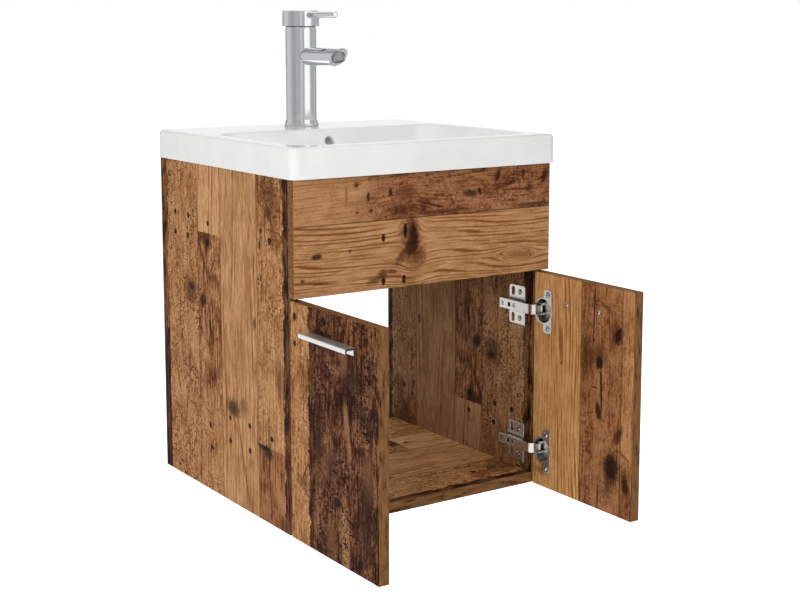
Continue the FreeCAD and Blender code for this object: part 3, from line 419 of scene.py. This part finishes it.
# builds one print as a node group: in goes (s, t) in millimetres, out come colour, roughness and height
def plankPrint(name, layout):
    tree = bpy.data.node_groups.new(name, "ShaderNodeTree")
    tree.interface.new_socket("Print", in_out="INPUT", socket_type="NodeSocketVector")
    for label, kind in {"Color": "Color", "Roughness": "Float", "Height": "Float"}.items():
        tree.interface.new_socket(label, in_out="OUTPUT", socket_type="NodeSocket" + kind)
    place = tree.nodes.new("NodeGroupInput").outputs[0]
    axes = add(tree, "SeparateXYZ", None, {0: place})

    ramps = plankRamps(tree, layout, tornAcross(tree, layout, place, axes))
    dark, middle, light, kindColor, seedColor = layPatches(tree, layout, axes, ramps)
    kinds = add(tree, "SeparateColor", None, {0: kindColor}).outputs
    seed = add(tree, "SeparateColor", None, {0: seedColor}).outputs[0]

    # each noise in millimetres, longer along t than across so that fibres run with the plank
    flow = flowRound(tree, layout, place, axes)
    along = add(tree, "Math", {"operation": "MULTIPLY_ADD", 1: grainLook["seedJumpMm"]},
                {0: seed, 2: axes.outputs[1]})
    grainPlace = add(tree, "CombineXYZ", None, {0: flow, 1: along})
    noises = {}
    for label, (acrossMm, alongMm, detail, roughness, distortion) in grainSizes.items():
        sized = add(tree, "Mapping", {"Scale": (1 / acrossMm, 1 / alongMm, 1)}, {"Vector": grainPlace})
        noises[label] = add(tree, "TexNoise", {"noise_dimensions": "2D", "Scale": 1.0, "Detail": detail,
                                               "Roughness": roughness, "Distortion": distortion},
                            {"Vector": sized})
    tone = grainTone(tree, layout, flow, noises, kinds)
    color = dark
    for reach, nextColor in (("darkToMiddle", middle), ("middleToLight", light)):
        part = add(tree, "MapRange", span(*grainLook[reach]), {0: tone})
        color = add(tree, "Mix", {"data_type": "RGBA"}, {0: part, 6: color, 7: nextColor}).outputs[2]

    # stains lie under the speckle, knots and nail holes on top of it; all share one ragged edge
    rag = wander(tree, place, edgeLook["rag"])
    stains = [mark for mark in layout["marks"] if mark[6] >= edgeLook["stainSoftness"]]
    knots = [mark for mark in layout["marks"] if mark[6] < edgeLook["stainSoftness"]]
    color = drawMarks(tree, stains, place, rag, color)
    spotted = speckleCover(tree, noises, kinds[0])
    deep = add(tree, "Mix", {"data_type": "RGBA", "blend_type": "MULTIPLY", 0: 1.0, 7: grainLook["deepTint"]},
               {6: dark}).outputs[2]
    color = add(tree, "Mix", {"data_type": "RGBA"}, {0: spotted, 6: color, 7: deep}).outputs[2]
    color = drawMarks(tree, knots, place, rag, color)
    for s in layout["seams"]:
        far = distanceFrom(tree, axes.outputs[0], s)
        line = add(tree, "MapRange", span(*edgeLook["seamMm"], edgeLook["seamCover"], 0.0), {0: far})
        color = add(tree, "Mix", {"data_type": "RGBA", 7: toLinear(edgeLook["seamTone"])},
                    {0: line, 6: color}).outputs[2]

    roughness = add(tree, "MapRange", span(0.0, 1.0, *grainLook["roughness"]), {0: tone})
    ending = tree.nodes.new("NodeGroupOutput")
    for index, socket in enumerate((color, roughness.outputs[0], tone.outputs[0])):
        tree.links.new(socket, ending.inputs[index])
    return tree


prints = {
    "side": plankPrint("reclaimed planks, side cut", sidePrint),
    "front": plankPrint("reclaimed planks, front cut", frontPrint),
    "darkDoor": plankPrint("reclaimed planks, smoked cut", darkDoorPrint),
    "goldenDoor": plankPrint("reclaimed planks, golden cut", goldenDoorPrint),
}
print("plank prints ready:", len(prints))

# How each board is cut from the foil: the axis through its thickness, and for each of its two faces the print
# and where s and t start and run. (axis, sign, start) is sign * coordinate + start, in millimetres.
# "edge" is the way the edge band runs. The last pair in some boards is what each face's sheet is multiplied
# by:
# painted shade darkens and greys the cabinet's inside faces, and painted light lightens both faces of the
# bottom board.
boards = {
    # the left side's inside face is darkened and greyed as painted shade
    "left_side_panel": {"thickness": "X", "low": ("side", ("Y", -1, 0), ("Z", -1, 40)),
                        "high": ("side", ("Y", 1, 370), ("Z", 1, 428)), "edge": "Z",
                        "lightShadeTints": ((1.0, 1.0, 1.0), (0.74, 0.8, 0.88))},
    # the right side's inside face is darkened and greyed as painted shade
    "right_side_panel": {"thickness": "X", "low": ("side", ("Y", 1, 370), ("Z", 1, 428)),
                         "high": ("side", ("Y", -1, 0), ("Z", -1, 40)), "edge": "Z",
                         "lightShadeTints": ((0.74, 0.8, 0.88), (1.0, 1.0, 1.0))},
    "front_panel": {"thickness": "Y", "low": ("front", ("Z", -1, 40), ("X", 1, 205)),
                    "high": ("front", ("Z", 1, 110), ("X", 1, 205)), "edge": "X"},
    # both faces of the bottom board are lightened as painted light
    "bottom_panel": {"thickness": "Z", "low": ("side", ("Y", 1, 370), ("X", 1, 190)),
                     "high": ("side", ("Y", -1, 0), ("X", -1, 205)), "edge": "X",
                     "lightShadeTints": ((1.2, 1.2, 1.2), (1.5, 1.62, 1.62))},
    "back_rail": {"thickness": "Y", "low": ("front", ("Z", -1, 130), ("X", -1, 205)),
                  "high": ("front", ("Z", -1, 100), ("X", 1, 205)), "edge": "X"},
    "left_door": {"thickness": "X", "low": ("darkDoor", ("Y", -1, -373), ("Z", -1, -113)),
                  "high": ("goldenDoor", ("Y", -1, -373), ("Z", -1, -113)), "edge": "Z"},
    "right_door": {"thickness": "X", "low": ("goldenDoor", ("Y", -1, -373), ("Z", -1, -113)),
                   "high": ("darkDoor", ("Y", 1, 576), ("Z", -1, -73)), "edge": "Z"},
}
edgeBand = {"tones": {0.33: "#3d2010", 0.45: "#74502f", 0.72: "#946843"}, "dashMm": 26.0, "widthMm": 4.0,
            "detail": 3.0, "roughness": 0.6}
foil = {"ior": 1.5, "specular": 0.05, "relief": 0.25, "reliefDepth": 0.0004, "faceLimit": 0.6}


# printed foil on both faces and a matching edge band, satin lacquered: soft sheen, faint grain relief
def boardMaterial(name, cut):
    material, tree = newMaterial("printed plank foil, " + name.replace("_", " "))
    spot = add(tree, "TexCoord")
    inMm = add(tree, "VectorMath", {"operation": "SCALE", "Scale": mmPerMetre}, {0: spot.outputs["Object"]})
    axes = add(tree, "SeparateXYZ", None, {0: inMm})
    facing = add(tree, "SeparateXYZ", None, {0: spot.outputs["Normal"]})
    faces = []
    for side in ("low", "high"):
        printName, *runs = cut[side]
        values = [add(tree, "Math", {"operation": "MULTIPLY_ADD", 1: sign, 2: start},
                      {0: axes.outputs["XYZ".index(axis)]}) for axis, sign, start in runs]
        faces.append((printName, add(tree, "CombineXYZ", None, {0: values[0], 1: values[1]})))
    through = facing.outputs["XYZ".index(cut["thickness"])]
    isHigh = add(tree, "Math", {"operation": "GREATER_THAN", 1: 0.0}, {0: through})
    (lowPrint, lowPlace), (highPrint, highPlace) = faces
    if lowPrint == highPrint:
        place = add(tree, "Mix", {"data_type": "VECTOR"}, {0: isHigh, 4: lowPlace, 5: highPlace}).outputs[1]
        color, roughness, height = add(tree, "Group", {"node_tree": prints[lowPrint]}, {0: place}).outputs
    else:
        low, high = [add(tree, "Group", {"node_tree": prints[printName]}, {0: place}).outputs
                     for printName, place in faces]
        color = add(tree, "Mix", {"data_type": "RGBA"}, {0: isHigh, 6: low[0], 7: high[0]}).outputs[2]
        roughness = add(tree, "Mix", None, {0: isHigh, 2: low[1], 3: high[1]}).outputs[0]
        height = add(tree, "Mix", None, {0: isHigh, 2: low[2], 3: high[2]}).outputs[0]
    # painted light and shade: each face's colour is multiplied by its own factor
    if "lightShadeTints" in cut:
        lowFaceLightShade, highFaceLightShade = cut["lightShadeTints"]
        faceLightShade = add(tree, "Mix", {"data_type": "RGBA", 6: lowFaceLightShade + (1,), 7: highFaceLightShade + (1,)}, {0: isHigh})
        color = add(tree, "Mix", {"data_type": "RGBA", "blend_type": "MULTIPLY", 0: 1.0},
                    {6: color, 7: faceLightShade.outputs[2]}).outputs[2]

    # edge band: short dark dashes along the board's length
    dashMm = [edgeBand["dashMm" if axis == cut["edge"] else "widthMm"] for axis in "XYZ"]
    sized = add(tree, "Mapping", {"Scale": [1 / mm for mm in dashMm]}, {"Vector": inMm})
    dashes = add(tree, "TexNoise", {"Scale": 1.0, "Detail": edgeBand["detail"],
                                    "Roughness": edgeBand["roughness"]}, {"Vector": sized})
    band = add(tree, "ValToRGB", None, {0: dashes})
    setStops(band, list(edgeBand["tones"]), [toLinear(tone) for tone in edgeBand["tones"].values()])
    flat = add(tree, "Math", {"operation": "ABSOLUTE"}, {0: through})
    isFace = add(tree, "Math", {"operation": "GREATER_THAN", 1: foil["faceLimit"]}, {0: flat})
    color = add(tree, "Mix", {"data_type": "RGBA"}, {0: isFace, 6: band, 7: color}).outputs[2]

    relief = add(tree, "Bump", {"Strength": foil["relief"], "Distance": foil["reliefDepth"]},
                 {"Height": height})
    shader = add(tree, "BsdfPrincipled", {"IOR": foil["ior"], "Specular IOR Level": foil["specular"]},
                 {"Base Color": color, "Roughness": roughness, "Normal": relief})
    add(tree, "OutputMaterial", None, {0: shader})
    return material


for name, cut in boards.items():
    dress([name], boardMaterial(name, cut))
print("boards dressed:", len(boards))


# Vitreous china, glazed and fired: glassy white with a faint ripple in the glaze and a hint of grey
glazedChina = {"tones": {0.35: "#ebecea", 0.65: "#f0f0ef"}, "rippleMm": 45.0, "detail": 2.0, "ior": 1.52,
               "roughness": (0.07, 0.12), "relief": 0.06, "reliefDepth": 0.001}


def chinaMaterial(look):
    material, tree = newMaterial("glazed vitreous china")
    spot = add(tree, "TexCoord")
    ripple = add(tree, "TexNoise", {"Scale": mmPerMetre / look["rippleMm"], "Detail": look["detail"]},
                 {"Vector": spot.outputs["Object"]})
    faceLightShade = add(tree, "ValToRGB", None, {0: ripple})
    setStops(faceLightShade, list(look["tones"]), [toLinear(tone) for tone in look["tones"].values()])
    relief = add(tree, "Bump", {"Strength": look["relief"], "Distance": look["reliefDepth"]},
                 {"Height": ripple})
    gloss = add(tree, "MapRange", span(0.0, 1.0, *look["roughness"]), {0: ripple})
    shader = add(tree, "BsdfPrincipled", {"IOR": look["ior"]},
                 {"Base Color": faceLightShade, "Roughness": gloss, "Normal": relief})
    add(tree, "OutputMaterial", None, {0: shader})
    return material


dress(["basin"], chinaMaterial(glazedChina))

# Metals: tone, how rough, the surface's own texture in millimetres along X Y Z, and its relief. Real polish
# and brushing are too fine to show, so they are drawn as coarse as they need to be. Some metals get painted
# shade in their corners and slots, a dark tone and the width in metres it spreads over, or painted shade on
# the end faces across Y, in a darker tone.
# A stamped sheet's edges are rounded over roundEdge metres, which draws a bright line along them.
metals = {
    "polished chrome plate": {  # buffed and plated: a cold mirror with slight waves
        "tone": "#e3e4e5", "dull": "#d8d9db", "roughness": (0.05, 0.11),
        "grainMm": (14, 14, 14), "relief": 0.02,
        "on": ["tap_body", "tap_dome_cover", "lever_cap", "lever_rod", "waste_body", "waste_plug"]},
    "satin anodised aluminium": {  # brushed along the bar, then anodised: a pale sheen in long fine lines
        "tone": "#e4e3e1", "dull": "#d2d1cf", "roughness": (0.38, 0.5),
        "grainMm": (0.7, 60, 0.7), "relief": 0.05,
        # painted shade: the end faces across Y are darkened to this tone
        "shadedEnds": "#7d7a79",
        "on": ["left_handle", "right_handle"]},
    "bright nickel plate": {  # stamped, then plated in a barrel: warm silver, half blurred, with painted shade in the corners
        "tone": "#d8d4cf", "dull": "#b4b0ab", "roughness": (0.24, 0.36),
        "grainMm": (3, 3, 3), "relief": 0.05,
        # painted shade in the corners: a dark tone and the width in metres it spreads over
        "paintedShade": ("#2e2824", 0.003), "roundEdge": 0.0012,
        "on": [name for name in parts if "_hinge_" in name and "screws" not in name]},
    "bright zinc plate": {  # pressed, then plated in a barrel: bluish grey glints, with painted shade in the slots and corners
        "tone": "#c8cacc", "dull": "#a9abae", "roughness": (0.2, 0.38),
        "grainMm": (2, 2, 2), "relief": 0.08,
        # painted shade in the slots and corners: a dark tone and the width in metres it spreads over
        "paintedShade": ("#14110f", 0.004),
        "on": [name for name in parts if name.endswith("_screws")]
        + ["cam_discs", "cam_bolts", "lever_pin", "tap_stud", "tap_clamp_plate"]},
    "machined brass": {  # cut from drawn bar: yellow, with fine streaks along Z
        "tone": "#d9b66a", "dull": "#b88f47", "roughness": (0.22, 0.36),
        "grainMm": (0.8, 0.8, 9), "relief": 0.08,
        "on": ["cartridge_nut", "tap_stem", "tap_stud_nut"]},
}
# surface noise shared by all metals, with the span and sample count of the painted shade in corners
metalSurface = {"detail": 3.0, "roughness": 0.55, "reliefDepth": 0.0002, "roughSpan": (0.3, 0.7),
                "paintedShadeSpan": (0.35, 0.85), "paintedShadeSamples": 8, "edgeSamples": 6, "endLimit": 0.9}


def metalMaterial(name, look):
    material, tree = newMaterial(name)
    spot = add(tree, "TexCoord")
    sized = add(tree, "Mapping", {"Scale": [mmPerMetre / mm for mm in look["grainMm"]]},
                {"Vector": spot.outputs["Object"]})
    grain = add(tree, "TexNoise", {"Scale": 1.0, "Detail": metalSurface["detail"],
                                   "Roughness": metalSurface["roughness"]}, {"Vector": sized})
    tone = add(tree, "Mix", {"data_type": "RGBA", 6: toLinear(look["dull"]), 7: toLinear(look["tone"])},
               {0: grain}).outputs[2]
    # painted shade: the tone darkens towards a dark one where ambient occlusion finds other surfaces close
    # by, in corners, slots and round screw heads
    if "paintedShade" in look:
        shadeTone, spread = look["paintedShade"]
        corner = add(tree, "AmbientOcclusion", {"samples": metalSurface["paintedShadeSamples"], "Distance": spread})
        unshaded = add(tree, "MapRange", span(*metalSurface["paintedShadeSpan"]), {0: corner.outputs["AO"]})
        tone = add(tree, "Mix", {"data_type": "RGBA", 6: toLinear(shadeTone)}, {0: unshaded, 7: tone}).outputs[2]
    # painted shade: faces turned along Y, the bar's ends, take the darker tone
    if "shadedEnds" in look:
        facing = add(tree, "SeparateXYZ", None, {0: spot.outputs["Normal"]})
        alongY = add(tree, "Math", {"operation": "ABSOLUTE"}, {0: facing.outputs[1]})
        isEnd = add(tree, "Math", {"operation": "GREATER_THAN", 1: metalSurface["endLimit"]}, {0: alongY})
        tone = add(tree, "Mix", {"data_type": "RGBA", 7: toLinear(look["shadedEnds"])},
                   {0: isEnd, 6: tone}).outputs[2]
    rough = add(tree, "MapRange", span(*metalSurface["roughSpan"], *look["roughness"]), {0: grain})
    relief = add(tree, "Bump", {"Strength": look["relief"], "Distance": metalSurface["reliefDepth"]},
                 {"Height": grain})
    if "roundEdge" in look:
        rounded = add(tree, "Bevel", {"samples": metalSurface["edgeSamples"], "Radius": look["roundEdge"]})
        tree.links.new(rounded.outputs[0], relief.inputs["Normal"])
    shader = add(tree, "BsdfPrincipled", {"Metallic": 1.0},
                 {"Base Color": tone, "Roughness": rough, "Normal": relief})
    add(tree, "OutputMaterial", None, {0: shader})
    return material


for name, look in metals.items():
    dress(look["on"], metalMaterial(name, look))

# Small unplated pieces: beech, moulded plastics and rubber, each with a mottle of the given size. Real mould
# grain and pores are too fine to show, so they are drawn as coarse as they need to be.
plainStuffs = {
    "fluted beech": {  # turned, with pressed flutes: pale and matte, with brown flecks
        "tone": "#d3ad7d", "shade": "#b0855a", "roughness": 0.6, "ior": 1.5, "grainMm": 1.2,
        "on": ["dowels"]},
    "moulded grey plastic": {  # filled polypropylene: mid grey with a clear mottle and a soft sheen
        "tone": "#b2b5b8", "shade": "#66696c", "roughness": 0.45, "ior": 1.49, "grainMm": 1.8,
        "on": ["waste_nut", "tap_aerator"]},
    "moulded pale plastic": {  # acetal: pale grey with a waxy sheen
        "tone": "#b9bcbe", "shade": "#9a9d9f", "roughness": 0.4, "ior": 1.49, "grainMm": 0.8,
        "on": ["tap_cartridge"]},
    "moulded black rubber": {  # nitrile: near black and dull
        "tone": "#2b2b2b", "shade": "#1c1c1c", "roughness": 0.8, "ior": 1.52, "grainMm": 0.6,
        "on": ["tap_clamp_rubber", "waste_seal"]},
    "pale silicone rubber": {  # moulded smooth: pale grey, half matte
        "tone": "#c9cac8", "shade": "#b6b7b5", "roughness": 0.55, "ior": 1.42, "grainMm": 0.6,
        "on": ["tap_gasket"]},
}
plainSurface = {"detail": 3.0, "relief": 0.15, "reliefDepth": 0.0002}


def plainMaterial(name, look):
    material, tree = newMaterial(name)
    spot = add(tree, "TexCoord")
    grain = add(tree, "TexNoise", {"Scale": mmPerMetre / look["grainMm"], "Detail": plainSurface["detail"]},
                {"Vector": spot.outputs["Object"]})
    tone = add(tree, "Mix", {"data_type": "RGBA", 6: toLinear(look["shade"]), 7: toLinear(look["tone"])},
               {0: grain})
    relief = add(tree, "Bump", {"Strength": plainSurface["relief"], "Distance": plainSurface["reliefDepth"]},
                 {"Height": grain})
    shader = add(tree, "BsdfPrincipled", {"IOR": look["ior"], "Roughness": look["roughness"]},
                 {"Base Color": tone.outputs[2], "Normal": relief})
    add(tree, "OutputMaterial", None, {0: shader})
    return material


for name, look in plainStuffs.items():
    dress(look["on"], plainMaterial(name, look))
print("china, metals and small pieces dressed")

# Studio: the unit hangs at its height above a white floor, in soft light that comes mostly from the front.
# A lamp is name, place, watts and size. The cards are boards round the tap that only reflections see:
# from and to in degrees from the front, tone, strength.
studio = {
    "floorPlace": (0, -0.5, -0.79), "floorSize": 60, "floorTone": "#f4f4f4", "floorLift": 0.7,
    "frontLight": 0.49, "backLight": 0.43, "topLight": 0.16, "frontToBack": (-0.6, 0.8),
    "lamps": [("key", (-2.2, -1.7, 0.9), 26.0, 1.0), ("front", (-1.25, -2.45, 0.6), 9.0, 0.7),
              ("fill", (2.1, 1.5, 1.0), 26.0, 1.4)],
    "lampTarget": (0, -0.3, -0.1),
    "cardRing": (0.0, -0.054, 0.9), "cardHeights": (-0.2, 1.1), "cardStep": 5,
    "cards": [(-172, -155, "#a6a6a6", 1.0), (-155, -110, "#dbdbdb", 1.0), (-110, -92, "#c0c0c0", 1.0),
              (-92, -70, "#b2b2b2", 1.0), (-70, -34, "#c0c0c0", 1.0), (-34, -20, "#dcdcdc", 1.0),
              (-20, -6, "#c0c0c0", 1.0), (-6, 34, "#ffffff", 1.3), (34, 44, "#dddddd", 1.0),
              (44, 74, "#bcbcbc", 1.0), (74, 88, "#d2d2d2", 1.0), (88, 112, "#a8a8a8", 1.0)],
}
white = (1, 1, 1, 1)


# 1 where the camera or one of these other rays looks, 0 where light falls on things
def isSeen(tree, otherRays):
    ray = add(tree, "LightPath")
    seen = ray.outputs["Is Camera Ray"]
    for kind in otherRays:
        seen = add(tree, "Math", {"operation": "MAXIMUM"}, {0: seen, 1: ray.outputs["Is " + kind + " Ray"]})
    return seen


def hideFrom(piece, rays):
    for kind in rays:
        setattr(piece, "visible_" + kind, False)


def buildWorld(look):
    world = bpy.data.worlds.new("white studio")
    scene.world = world
    world.use_nodes = True
    tree = world.node_tree
    tree.nodes.clear()
    spot = add(tree, "TexCoord")
    axes = add(tree, "SeparateXYZ", None, {0: spot.outputs["Generated"]})
    level = add(tree, "MapRange", span(*look["frontToBack"], look["frontLight"], look["backLight"]),
                {0: axes.outputs[1]})
    overhead = add(tree, "Math", {"operation": "MAXIMUM", 1: 0.0}, {0: axes.outputs[2]})
    strength = add(tree, "Math", {"operation": "MULTIPLY_ADD", 1: look["topLight"]}, {0: overhead, 2: level})
    lit = add(tree, "Background", {"Color": white}, {"Strength": strength})
    shown = add(tree, "Background", {"Color": white, "Strength": 1.0})
    both = add(tree, "MixShader", None, {0: isSeen(tree, ("Glossy", "Transmission")), 1: lit, 2: shown})
    add(tree, "OutputWorld", None, {0: both})


def buildFloor(look):
    bpy.ops.mesh.primitive_plane_add(size=look["floorSize"], location=look["floorPlace"])
    floor = bpy.context.object
    floor.name = "studio_floor"
    material, tree = newMaterial("matte white floor")
    matte = add(tree, "BsdfDiffuse", {"Color": toLinear(look["floorTone"])})
    lift = add(tree, "Math", {"operation": "MULTIPLY", 1: look["floorLift"]}, {0: isSeen(tree, ("Glossy",))})
    glow = add(tree, "Emission", {"Color": white}, {"Strength": lift})
    both = add(tree, "AddShader", None, {0: matte, 1: glow})
    add(tree, "OutputMaterial", None, {0: both})
    floor.data.materials.append(material)


def buildCards(look):
    x, y, radius = look["cardRing"]
    for low, high, tone, strength in look["cards"]:
        corners = []
        steps = max(2, int((high - low) / look["cardStep"]))
        for step in range(steps + 1):
            turn = math.radians(low + (high - low) * step / steps)
            for z in look["cardHeights"]:
                corners.append((x + radius * math.sin(turn), y - radius * math.cos(turn), z))
        strips = [(2 * step, 2 * step + 2, 2 * step + 3, 2 * step + 1) for step in range(steps)]
        cardMesh = bpy.data.meshes.new("reflector_card")
        cardMesh.from_pydata(corners, [], strips)
        card = bpy.data.objects.new("reflector_card", cardMesh)
        scene.collection.objects.link(card)
        material, tree = newMaterial("grey card")
        glow = add(tree, "Emission", {"Color": toLinear(tone), "Strength": strength})
        add(tree, "OutputMaterial", None, {0: glow})
        cardMesh.materials.append(material)
        hideFrom(card, ("camera", "diffuse", "transmission", "volume_scatter", "shadow"))


def buildLamps(look):
    for name, place, watts, size in look["lamps"]:
        lampData = bpy.data.lights.new(name, "AREA")
        lampData.energy = watts
        lampData.size = size
        lamp = bpy.data.objects.new(name, lampData)
        lamp.location = place
        aim = Vector(look["lampTarget"]) - Vector(place)
        lamp.rotation_euler = aim.to_track_quat("-Z", "Y").to_euler()
        hideFrom(lamp, ("camera", "glossy"))
        scene.collection.objects.link(lamp)


for build in (buildWorld, buildFloor, buildCards, buildLamps):
    build(studio)

# Camera from the photograph's vanishing lines: metres, degrees, millimetres
view = {"place": (-1.0865, -1.9255, 0.2311), "yaw": 34.03, "dip": 7.744, "sensor": 36.0, "lens": 65.10,
        "shiftY": -0.10}
cameraData = bpy.data.cameras.new("camera")
cameraData.sensor_fit = "HORIZONTAL"
cameraData.sensor_width = view["sensor"]
cameraData.lens = view["lens"]
cameraData.shift_y = view["shiftY"]
camera = bpy.data.objects.new("camera", cameraData)
camera.location = view["place"]
camera.rotation_euler = (math.radians(90 - view["dip"]), 0, -math.radians(view["yaw"]))
scene.collection.objects.link(camera)
scene.camera = camera
scene.view_settings.view_transform = "Standard"
print("studio and camera set")
